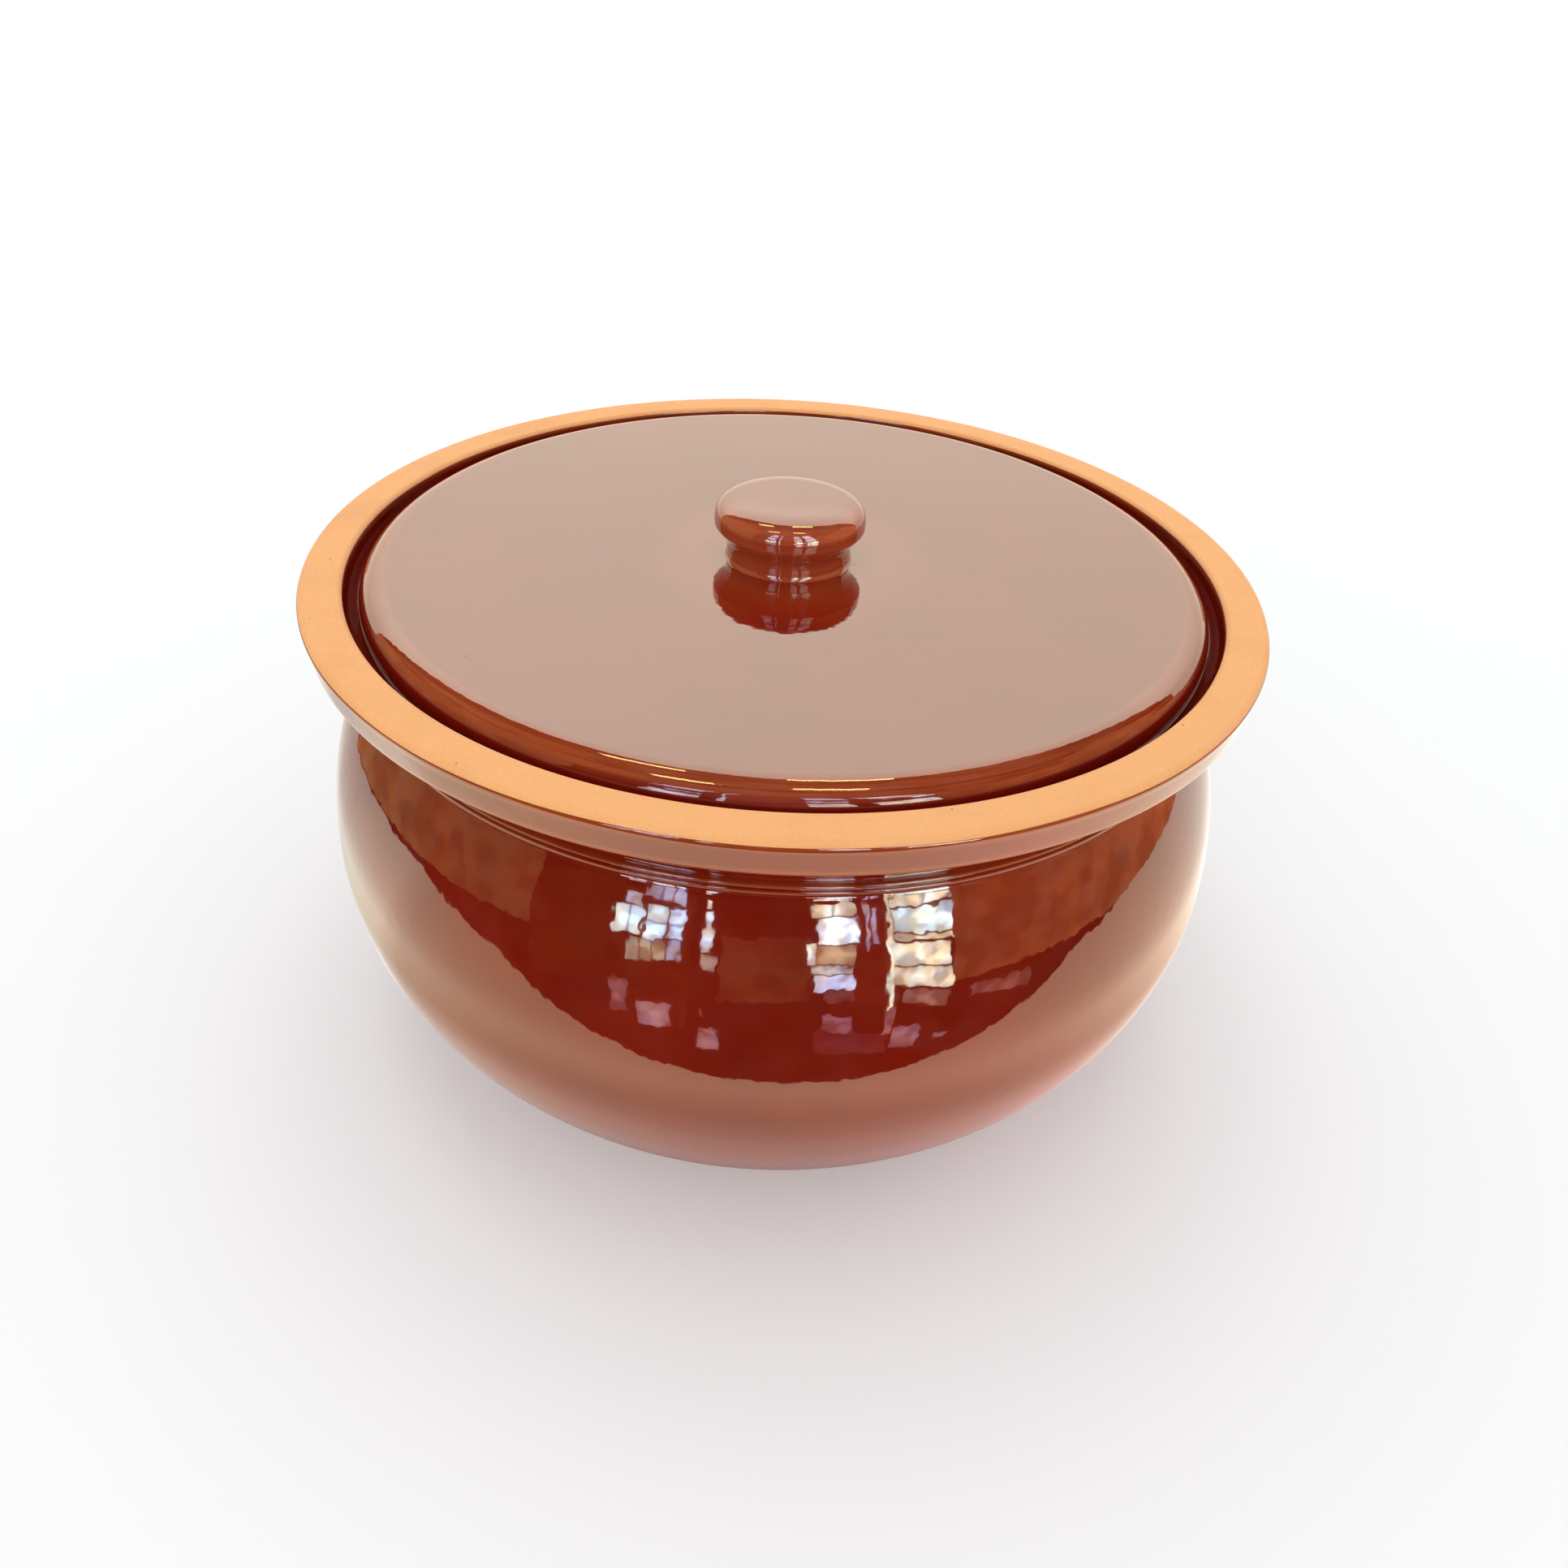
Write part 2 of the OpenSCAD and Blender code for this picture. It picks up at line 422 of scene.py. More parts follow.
class Outline:
    """A turned form's outline in the r-z plane, with the solid on its left."""

    def __init__(self, *parts: Any) -> None:
        """Joins places and stretches of places, and drops the doubled ones.

        Args:
            *parts: Places and arrays of places, in order along the outline. A
                whole number is a straight line of that many from one to the next.
        """
        rows = [part if isinstance(part, int) else np.atleast_2d(part) for part in parts]
        for i, part in enumerate(rows):
            if isinstance(part, int):
                rows[i] = np.linspace(rows[i - 1][-1], rows[i + 1][0], part)
        points = np.vstack(rows)
        steps = np.linalg.norm(np.diff(points, axis=0), axis=1)
        self.points = points[np.append(True, steps > 1e-4 * MM)]
        steps = np.linalg.norm(np.diff(self.points, axis=0), axis=1)
        self.along = np.append(0.0, np.cumsum(steps))
        tangent = np.gradient(self.points, self.along, axis=0)
        tangent /= np.linalg.norm(tangent, axis=1)[:, None]
        self.normals = np.column_stack((tangent[:, 1], -tangent[:, 0]))

    def nearest(self, r: float, z: float) -> float:
        """The distance along the outline of its point nearest to (r, z)."""
        gaps = np.linalg.norm(self.points - np.array([r, z]), axis=1)
        return float(self.along[int(np.argmin(gaps))])

    def beyond(self, start: float, end: float, fade: float) -> Array:
        """A share at each point: 0 from start to end along the outline, up to 1 over a fade outside."""
        return np.clip(np.maximum(start - self.along, self.along - end) / fade, 0, 1)

    def thinness(self, reach: float, bend: float, onset: float = 0.0) -> Array:
        """Where molten glaze thins out: on outward bends of the outline.

        The turn of the normal is averaged over a window of the given reach, and a
        bend of the given radius or tighter counts as 1.

        Args:
            reach: Half width of the window along the outline.
            bend: Radius of a bend that thins the glaze fully.
            onset: Share of that bend under which it doesn't thin at all.

        Returns:
            A number from 0 to 1 at each point.
        """
        turn = np.unwrap(np.arctan2(self.normals[:, 1], self.normals[:, 0]))
        ahead = np.interp(self.along + reach, self.along, turn)
        behind = np.interp(self.along - reach, self.along, turn)
        return np.clip(((ahead - behind) / (2 * reach) * bend - onset) / (1 - onset), 0, 1)

    def ridged(self, at: float, height: float, width: float) -> "Outline":
        """The same outline with a low turning ridge, a bell at a distance along it."""
        bell = height * np.exp(-(((self.along - at) / (width / 2)) ** 2))
        return Outline(self.points + self.normals * bell[:, None])

    def sample(self, along: Array) -> tuple[Array, Array]:
        """Points and unit normals at distances along the outline.

        Args:
            along: Distances, in an array of any shape.

        Returns:
            Points and normals, each with r and z in the last axis.
        """
        point, normal = (
            np.stack([np.interp(along, self.along, values[:, i]) for i in (0, 1)], -1)
            for values in (self.points, self.normals)
        )
        return point, normal / np.linalg.norm(normal, axis=-1, keepdims=True)


def swung(points: Array) -> Array:
    """Swings rows by columns of (r, z) round the axis: (r cos a, r sin a, z)."""
    radius, height = points[..., 0], points[..., 1]
    return np.stack((radius * np.cos(TURN), radius * np.sin(TURN), height + 0 * TURN), -1)


def turned_piece(name: str, places: Array, thin: Union[float, Array], ends: Ends) -> Piece:
    """Makes a closed mesh from a grid of places round the axis.

    A face goes one step round, then one step along, so it points away from the
    solid. Each end row on the axis becomes one vertex with a fan of triangles.

    Args:
        name: The piece's name.
        places: Rows along the outline, by columns round it, by x, y and z.
        thin: The glaze's thinness, one number or by rows.
        ends: How the rows end.

    Returns:
        The new object.
    """
    poles = ends is Ends.POLES
    inner = slice(1, -1) if poles else slice(None)
    thin = np.broadcast_to(thin, len(places))
    vertices = places[inner].reshape(-1, 3)
    spread = np.repeat(thin[inner], COLUMNS)
    number = np.arange(len(vertices)).reshape(-1, COLUMNS) + int(poles)
    if poles:
        vertices = np.vstack((places[0].mean(0), vertices, places[-1].mean(0)))
        spread = np.concatenate((thin[:1], spread, thin[-1:]))
    else:
        number = np.vstack((number, number[:1]))
    beside = np.roll(number, -1, axis=1)
    ring = (number[:-1], beside[:-1], beside[1:], number[1:])
    faces = np.stack(ring, -1).reshape(-1, 4).tolist()
    if poles:
        pole = np.zeros(COLUMNS, int)
        faces += np.stack((pole, beside[0], number[0]), -1).tolist()
        faces += np.stack((number[-1], beside[-1], pole + len(vertices) - 1), -1).tolist()
    mesh = bpy.data.meshes.new(name)
    mesh.from_pydata(vertices.tolist(), [], faces)
    mesh.polygons.foreach_set("use_smooth", np.ones(len(faces), bool))
    mesh.attributes.new("thinness", "FLOAT", "POINT").data.foreach_set("value", spread.astype(np.float32))
    mesh.validate()
    mesh.update()
    return placed(name, mesh)


def whole_piece(
    name: str,
    outline: Outline,
    uneven: Unevenness,
    sunk: float,
    share: Array,
    thin: Union[float, Array] = 0.0,
) -> Piece:
    """Turns a whole body from an outline that starts and ends on the axis.

    Args:
        name: The piece's name.
        outline: Its outline.
        uneven: The unevenness of its surface.
        sunk: How far it lies under the outline besides.
        share: How much of both each of the outline's points gets.
        thin: The glaze's thinness, one number or by points.

    Returns:
        The new object.
    """
    point = np.repeat(outline.points[:, None], COLUMNS, axis=1)
    height = share[:, None] * (uneven.at(swung(point)) - sunk)
    moved = point + outline.normals[:, None] * height[..., None]
    moved[(0, -1), :, 0] = 0.0
    return turned_piece(name, swung(moved), thin, Ends.POLES)


def finish_pieces(pieces: list[Piece], finishes: tuple[Finish, ...], body: str) -> None:
    """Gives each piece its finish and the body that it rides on.

    Args:
        pieces: The pieces.
        finishes: Their finishes, in the same order.
        body: The body's name.
    """
    for piece, finish in zip(pieces, finishes):
        piece.data.materials.append(finish.material())
        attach(piece, body)


@dataclass(frozen=True)
class WipedEdge:
    """A glaze's edge where a sponge wiped it off, wavy round the form."""

    place: float
    height: float
    waves: int
    seed: int

    def stray(self) -> Array:
        """How far the edge strays along the outline: sines round the form.

        The sine that goes n times round is 1 / sqrt(n) as high, for n from 2.

        Returns:
            The stray at each column.
        """
        draw = np.random.default_rng(self.seed)
        orders = np.arange(2, self.waves + 2)
        phases = draw.uniform(0, math.tau, self.waves)
        total = (np.sin(np.outer(TURN, orders) + phases) / np.sqrt(orders)).sum(1)
        return self.height * total / np.abs(total).max()


@dataclass(frozen=True)
class Coat:
    """A coat of glaze on a turned clay body.

    Its outer face follows the outline, and it rounds over at a wiped edge to a
    back that lies inside the clay, so each coat is a closed shell.
    """

    depth: float = 0.2 * MM
    back: float = 0.5 * MM
    back_step: int = 4
    edge_width: float = 0.5 * MM
    edge_steps: tuple[float, ...] = (0, 0.03, 0.12, 0.28, 0.5, 0.8, 1.2, 1.8, 2.6, 3.6, 4.8)
    edge_thinness: float = 0.3
    thin_width: float = 0.8 * MM
    roll_height: float = 0.45
    roll_place: float = 1.3 * MM
    roll_width: float = 0.8 * MM
    reach: float = 5 * MM

    def rows(self, outline: Outline, start: Optional[WipedEdge], end: Optional[WipedEdge]) -> Array:
        """Distances along the outline that get a row: its own, and an edge's closer ones.

        Args:
            outline: The body's outline.
            start: The coat's first edge, or None on the axis.
            end: Its last edge, or None on the axis.

        Returns:
            The distances.
        """
        steps = self.edge_width * np.array(self.edge_steps)
        low = start.place + steps if start else outline.along[:1]
        high = end.place - steps[::-1] if end else outline.along[-1:]
        apart = 0.001 * MM
        inside = (outline.along > low[-1] + apart) & (outline.along < high[0] - apart)
        return np.concatenate((low, outline.along[inside], high))

    def build(
        self,
        name: str,
        outline: Outline,
        thinness: Array,
        start: Optional[WipedEdge] = None,
        end: Optional[WipedEdge] = None,
    ) -> Piece:
        """Builds the coat between two places on the outline.

        A row strays with a wiped edge by the square of 1 - distance / reach. The
        face lies under the outline by depth * (1 - edge * (1 + roll) /
        (1 + roll_height)), where edge is a quarter ellipse and roll a bell, of the
        distance from the nearest edge.

        Args:
            name: The piece's name.
            outline: The body's outline.
            thinness: The glaze's thinness at each of the outline's points.
            start: The first edge, or None where the coat starts on the axis.
            end: The last edge, or None where it ends there.

        Returns:
            The new object.
        """
        base = self.rows(outline, start, end)
        along = base[:, None]
        gap = np.full(len(base), np.inf)
        for wiped in (start, end):
            if wiped:
                away = np.abs(base - wiped.place)
                along = along + np.outer(np.clip(1 - away / self.reach, 0, 1) ** 2, wiped.stray())
                gap = np.minimum(gap, away)
        point, normal = outline.sample(along + 0 * TURN)
        edge = np.sqrt(1 - (1 - np.clip(gap / self.edge_width, 0, 1)) ** 2)
        roll = self.roll_height * np.exp(-(((gap - self.roll_place) / self.roll_width) ** 2))
        level = -self.depth * (1 - edge * (1 + roll) / (1 + self.roll_height))
        places = swung(point)
        uneven = SWELL.at(places) + PULL.at(places) * edge[:, None]
        face = point + normal * (level[:, None] + uneven)[..., None]
        back = point + normal * (uneven - self.depth - self.back * edge[:, None])[..., None]
        thin = np.interp(base, outline.along, thinness)
        thin = np.clip(thin + self.edge_thinness * np.exp(-gap / self.thin_width), 0, 1)
        # The back goes from the last row to the first, with the rows at wiped edges left out
        last = len(base) - 1
        hidden = np.unique(np.append(np.arange(0, last, self.back_step), last))[::-1]
        hidden = hidden[1 if end else 0 : -1 if start else None]
        order = [(face, np.arange(len(base))), (back, hidden)]
        if not end:
            order.reverse()
        grid = np.concatenate([part[index] for part, index in order])
        index = np.concatenate([index for _, index in order])
        ends = Ends.LOOP if start and end else Ends.POLES
        if ends is Ends.POLES:
            grid[(0, -1), :, 0] = 0.0
        return turned_piece(name, swung(grid), thin[index], ends)


@dataclass
class Vessel:
    """The pot: its clay body, and its glaze inside and out."""

    rim_r: float
    rim_h: float
    seat_h: float
    belly_r: float = 138.5 * MM
    belly_h: float = 78 * MM
    base_r: float = 89 * MM
    shoulder_r: float = 124.7 * MM
    shoulder_drop: float = 27 * MM
    wall: float = 7 * MM
    floor_t: float = 9 * MM
    floor_r: float = 88 * MM
    floor_edge_r: float = 12 * MM
    foot_w: float = 14 * MM
    foot_hollow: float = 1.6 * MM
    foot_slope_w: float = 3 * MM
    foot_bare_w: float = 4 * MM
    foot_edge_w: float = 2 * MM
    base_edge_r: float = 6 * MM
    mouth_r: float = 127.5 * MM
    throat_r: float = 115 * MM
    throat_h: float = 12 * MM
    band_h: float = 11 * MM
    band_lean: float = 1.8 * MM
    rim_edge_r: float = 2.4 * MM
    mouth_edge_r: float = 1.8 * MM
    band_edge_r: float = 2.6 * MM
    ledge_corner_r: float = 4.4 * MM
    ledge_edge_r: float = 2.2 * MM
    neck_r: float = 123.5 * MM
    neck_h: float = 2.5 * MM
    neck_hollow_r: float = 4 * MM
    bead_count: int = 2
    bead_pitch: float = 1.6 * MM
    bead_r: float = 0.7 * MM
    bead_out: float = 2.1 * MM
    glaze_line_drop: float = 1.7 * MM
    mouth_line_drop: float = 1.3 * MM
    foot_line_h: float = 3.5 * MM
    clay_fade: float = 1.5 * MM
    thin_bend: float = 5 * MM
    coat: Coat = field(default_factory=Coat)

    def outside(self) -> list[Any]:
        """The outside, from the axis over the foot and up to the rim's top.

        Returns:
            The parts of an Outline.
        """
        ring_in = self.base_r - self.foot_w
        shoulder_z = self.rim_h - self.shoulder_drop
        neck_z = shoulder_z + self.bead_count * self.bead_pitch
        # Its first two points make way for the fillet at the foot
        lower = belly(self.belly_r, self.belly_h, self.base_r, 0, 70)[::-1][2:]
        upper = belly(self.belly_r, self.belly_h, self.shoulder_r, shoulder_z, 70)
        bead_x = self.neck_r + self.bead_out - self.bead_r
        beads = [
            arc((bead_x, shoulder_z + (i + 0.5) * self.bead_pitch), (self.bead_r,) * 2, -90, 90, 9)
            for i in range(self.bead_count)
        ]
        neck_foot = (self.neck_r, neck_z)
        neck_top = (self.neck_r, neck_z + self.neck_h)
        band_foot = (self.rim_r - self.band_lean, self.rim_h - self.band_h)
        band_top = (self.rim_r, self.rim_h - self.rim_edge_r)
        edge_centre = (self.rim_r - self.rim_edge_r, self.rim_h - self.rim_edge_r)
        return [
            (0, self.foot_hollow),
            10,
            (ring_in - self.foot_slope_w, self.foot_hollow),
            4,
            (ring_in, 0),
            6,
            (self.base_r - self.foot_edge_w, 0),
            rounded((ring_in, 0), (self.base_r, 0), lower[0], self.base_edge_r),
            lower,
            upper,
            *beads,
            neck_foot,
            rounded(neck_foot, neck_top, band_foot, self.neck_hollow_r),
            12,
            rounded(neck_top, band_foot, band_top, self.band_edge_r, 13),
            14,
            arc(edge_centre, (self.rim_edge_r,) * 2, 0, 90, 13),
        ]

    def inside(self) -> list[Any]:
        """The inside, from the rim's top over the ledge down to the floor.

        Returns:
            The parts of an Outline, which follow those of the outside.
        """
        inner_r = self.belly_r - self.wall
        throat_z = self.seat_h - self.throat_h
        rim_top = (self.rim_r - self.rim_edge_r, self.rim_h)
        mouth = (self.mouth_r, self.rim_h)
        ledge_out = (self.mouth_r, self.seat_h)
        ledge_in = (self.throat_r, self.seat_h)
        # Its last five points make way for the fillet at the floor
        lower = belly(inner_r, self.belly_h, self.floor_r, self.floor_t, 46)[:-5]
        floor_out = (self.floor_r, self.floor_t)
        floor_in = (0, self.floor_t)
        return [
            8,
            rounded(rim_top, mouth, ledge_out, self.mouth_edge_r, 11),
            6,
            rounded(mouth, ledge_out, ledge_in, self.ledge_corner_r, 16),
            6,
            rounded(ledge_out, ledge_in, (self.throat_r, throat_z), self.ledge_edge_r, 8),
            6,
            belly(inner_r, self.belly_h, self.throat_r, throat_z, 45)[::-1],
            lower,
            rounded(lower[-1], floor_out, floor_in, self.floor_edge_r),
            20,
            floor_in,
        ]

    def build(self) -> list[Piece]:
        """Builds the clay body and its two coats.

        Returns:
            The clay, the outer glaze and the inner glaze.
        """
        outline = Outline(*self.outside(), *self.inside())
        bare_end = outline.nearest(self.base_r - self.foot_bare_w, 0)
        share = outline.beyond(0.0, bare_end, self.clay_fade)
        thinness = outline.thinness(THIN_REACH, self.thin_bend)
        foot_line = outline.nearest(self.base_r + self.foot_bare_w, self.foot_line_h)
        rim_line = outline.nearest(self.rim_r, self.rim_h - self.glaze_line_drop)
        mouth_line = outline.nearest(self.mouth_r, self.rim_h - self.mouth_line_drop)
        foot_edge = WipedEdge(foot_line, height=1.2 * MM, waves=9, seed=3)
        rim_edge = WipedEdge(rim_line, height=0.5 * MM, waves=18, seed=5)
        mouth_edge = WipedEdge(mouth_line, height=0.25 * MM, waves=20, seed=7)
        return [
            whole_piece("pot_clay", outline, SWELL, self.coat.depth, share),
            self.coat.build("pot_glaze_outside", outline, thinness, start=foot_edge, end=rim_edge),
            self.coat.build("pot_glaze_inside", outline, thinness, start=mouth_edge),
        ]

    def dress(self, pieces: list[Piece], glaze: Finish, clay: Finish) -> None:
        """Gives what build returned its finishes and body."""
        finish_pieces(pieces, (clay, glaze, glaze), "pot")
        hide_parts("pot")


@dataclass
class Lid:
    """The lid: a thick disc, glazed on top and in its hollow, bare where it rests."""

    edge_r: float
    seat_h: float
    top_h: float
    edge_w: float = 8.5 * MM
    edge_h: float = 6.5 * MM
    foot_r: float = 1.4 * MM
    seat_w: float = 11 * MM
    hollow: float = 1.8 * MM
    slope_w: float = 3 * MM
    line_h: float = 1.6 * MM
    bare_in: float = 0.5 * MM
    bare_out: float = 0.3 * MM
    clay_fade: float = 1.5 * MM
    ridge_drop: float = 2.5 * MM
    ridge_h: float = 0.07 * MM
    ridge_w: float = 0.9 * MM
    thin_bend: float = 8 * MM
    thin_onset: float = 0.35
    # Painted shade of the gap: below these drops from the top the edge loses its thin colour
    painted_shade_drop: Pair = (4 * MM, 1.5 * MM)
    # Painted reflection of the knob: the lid's glaze is lightened in a ring round it
    painted_reflection_share: float = 0.5
    painted_reflection_zone: Pair = (28 * MM, 46 * MM)
    coat: Coat = field(default_factory=Coat)

    def outline(self) -> Outline:
        """Draws the whole outline: hollow, seat ring, edge with its ridge, flat top.

        Returns:
            The outline, from axis to axis.
        """
        seat_in = (self.edge_r - self.seat_w, self.seat_h)
        hollow_out = (seat_in[0] - self.slope_w, self.seat_h + self.hollow)
        edge_top = (self.edge_r, self.top_h - self.edge_h)
        centre = (self.edge_r - self.edge_w, self.top_h - self.edge_h)
        plain = Outline(
            (0, hollow_out[1]),
            24,
            hollow_out,
            6,
            seat_in,
            8,
            rounded(seat_in, (self.edge_r, self.seat_h), edge_top, self.foot_r),
            6,
            arc(centre, (self.edge_w, self.edge_h), 0, 90, 60),
            60,
            (0, self.top_h),
        )
        ridge_r = centre[0] + self.edge_w * math.sqrt(1 - (1 - self.ridge_drop / self.edge_h) ** 2)
        ridge_at = plain.nearest(ridge_r, self.top_h - self.ridge_drop)
        return plain.ridged(ridge_at, self.ridge_h, self.ridge_w)

    def thinness(self, outline: Outline) -> Array:
        """Makes the glaze thin on the edge's bend, lighter round the knob as a painted reflection of the
        knob, and without its thin colour low on the edge as painted shade of the gap.

        Args:
            outline: The lid's outline.

        Returns:
            The thinness, with the painted reflection and painted shade, at each of the outline's points.
        """
        r, z = outline.points.T
        bent = outline.thinness(THIN_REACH, self.thin_bend, self.thin_onset)
        # Painted reflection of the knob, as lighter glaze round it
        painted_knob_reflection = self.painted_reflection_share * np.interp(r, self.painted_reflection_zone, (1, 0))
        # Painted shade of the gap, as no thin colour low on the edge
        unshaded_share = np.interp(z - self.top_h, (-self.painted_shade_drop[0], -self.painted_shade_drop[1]), (0, 1))
        return np.clip(bent + painted_knob_reflection, 0, 1) * unshaded_share

    def build(self) -> list[Piece]:
        """Builds the clay disc, the glaze over it and the glaze in its hollow.

        Returns:
            The clay, the upper glaze and the lower glaze.
        """
        outline = self.outline()
        seat_in = outline.nearest(self.edge_r - self.seat_w, self.seat_h) + self.bare_in
        seat_out = outline.nearest(self.edge_r - self.foot_r, self.seat_h) - self.bare_out
        share = outline.beyond(seat_in, seat_out, self.clay_fade)
        slope_r = self.edge_r - self.seat_w - self.slope_w / 2
        edge_line = outline.nearest(self.edge_r, self.seat_h + self.line_h)
        hollow_line = outline.nearest(slope_r, self.seat_h + self.hollow / 2)
        rim_edge = WipedEdge(edge_line, height=0.4 * MM, waves=16, seed=13)
        hollow_edge = WipedEdge(hollow_line, height=0.5 * MM, waves=12, seed=17)
        return [
            whole_piece("lid_clay", outline, SWELL, self.coat.depth, share),
            self.coat.build("lid_glaze_top", outline, self.thinness(outline), start=rim_edge),
            self.coat.build("lid_glaze_hollow", outline, self.thinness(outline), end=hollow_edge),
        ]

    def dress(self, pieces: list[Piece], glaze: Finish, clay: Finish) -> None:
        """Gives what build returned its finishes and body."""
        finish_pieces(pieces, (clay, glaze, glaze), "lid")
        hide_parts("lid")


@dataclass
class Knob:
    """The turned knob: a crowned cap over a crease, on a waisted neck."""

    cap_r: float
    foot_h: float
    top_h: float
    wide_h: float = 10.4 * MM
    crease_h: float = 9.2 * MM
    crease_r: float = 21.7 * MM
    crease_angle: float = 50
    neck_r: float = 18.1 * MM
    neck_h: float = 4.8 * MM
    neck_hollow_r: float = 6 * MM
    foot_r: float = 18.6 * MM
    pool_w: float = 0.8 * MM
    pool_bow: float = 0.42 * MM
    sunk: float = 0.35 * MM
    crown_power: float = 0.57
    thin_reach: float = 0.8 * MM
    thin_bend: float = 4 * MM
    # Painted light: the glaze is lightened most under the cap, on its shaded neck and underside, and less up
    # the crown
    painted_light_under_cap: float = 0.8
    painted_light_on_crown: float = 0.14
    painted_light_rise: float = 4 * MM

    def outline(self) -> Outline:
        """Draws the outline, from the foot's underside up to the middle of the crown.

        Glaze pools in the corner at the foot, as an arc that meets the lid flat. The
        crown is a superellipse, (cos t, sin t) to a power.

        Returns:
            The outline, from axis to axis.
        """
        z = self.foot_h
        crease = (self.crease_r, z + self.crease_h)
        foot = (self.foot_r, z)
        side_w = (self.cap_r - self.crease_r) / (1 - math.cos(math.radians(self.crease_angle)))
        side_h = (self.wide_h - self.crease_h) / math.sin(math.radians(self.crease_angle))
        side_centre = (self.cap_r - side_w, z + self.wide_h)
        turn = np.radians(np.linspace(0, 90, 60))
        across, up = (np.clip(wave, 0, 1) ** self.crown_power for wave in (np.cos(turn), np.sin(turn)))
        waist = rounded(foot, (self.neck_r, z + self.neck_h), crease, self.neck_hollow_r, 17)
        pool = np.linspace((self.foot_r + self.pool_w, z - self.sunk), waist[0], 9)
        return Outline(
            (0, z - self.sunk),
            12,
            pool - self.pool_bow * np.sin(np.linspace(0, math.pi, 9))[:, None],
            waist,
            arc(side_centre, (side_w, side_h), -self.crease_angle, 0, 14),
            np.column_stack((self.cap_r * across, z + self.wide_h + (self.top_h - z - self.wide_h) * up)),
        )

    def build(self) -> list[Piece]:
        """Builds the glazed knob, its glaze lightened under the cap as painted light.

        Returns:
            The knob, alone in a list.
        """
        outline = self.outline()
        z = outline.points[:, 1] - self.foot_h
        # Painted light, lightest under the cap where it is shaded
        heights = (self.crease_h, self.wide_h + self.painted_light_rise)
        painted_light_share = np.interp(z, heights, (self.painted_light_under_cap, self.painted_light_on_crown))
        thin = np.clip(outline.thinness(self.thin_reach, self.thin_bend) + painted_light_share, 0, 1)
        return [whole_piece("knob_glazed", outline, PULL, 0.0, z > 0, thin)]

    def dress(self, pieces: list[Piece], glaze: Finish) -> None:
        """Gives what build returned its finish and body."""
        finish_pieces(pieces, (glaze,), "lid")
        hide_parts("knob")


def heading(azimuth: Array, rise: Array) -> Array:
    """Unit vectors (cos e sin a, -cos e cos a, sin e), at azimuth a from the front and rise e, in degrees."""
    turn, tilt = np.radians(azimuth), np.radians(rise)
    return np.stack((np.cos(tilt) * np.sin(turn), -np.cos(tilt) * np.cos(turn), np.sin(tilt)), -1)


@dataclass(frozen=True)
class Pane:
    """One lit pane round the pot, by its directions from it, in degrees."""

    left: float
    right: float
    low: Union[float, Pair]
    high: Union[float, Pair]
    colour: str
    strength: float
    cells: Pair = (1, 1)
    steps: int = 12
    bar_share: float = 0.25

    def places(self, reach: float) -> Array:
        """A grid of places on the pane, whose low and high edges may slope.

        Args:
            reach: How far away it hangs.

        Returns:
            Rows by columns by x, y and z.
        """
        share = np.linspace(0, 1, self.steps + 1)
        climb = share[:, None]
        low, high = (np.interp(share, (0, 1), np.broadcast_to(edge, 2)) for edge in (self.low, self.high))
        azimuth = self.left + (self.right - self.left) * share + 0 * climb
        return heading(azimuth, low + (high - low) * climb) * reach

    def light(self, edge: float) -> Array:
        """The light over that grid, 1 - (1 - edge) (x^2 + y^2) / 2 with x and y from its middle.

        On the bars between the pane's cells, a share of it is left.

        Args:
            edge: The share that is left at the pane's corners.

        Returns:
            The linear colour times the strength, rows by columns by 3.
        """
        step = np.linspace(-1, 1, self.steps + 1)
        middle = 1 - (1 - edge) * (step**2 + step[:, None] ** 2) / 2
        number = np.arange(self.steps + 1)
        inner = number % self.steps > 0
        across, up = ((number * cells % self.steps == 0) & inner for cells in self.cells)
        barred = middle * np.where(across | up[:, None], self.bar_share, 1.0)
        return np.array(linear(self.colour)[:3]) * self.strength * barred[..., None]


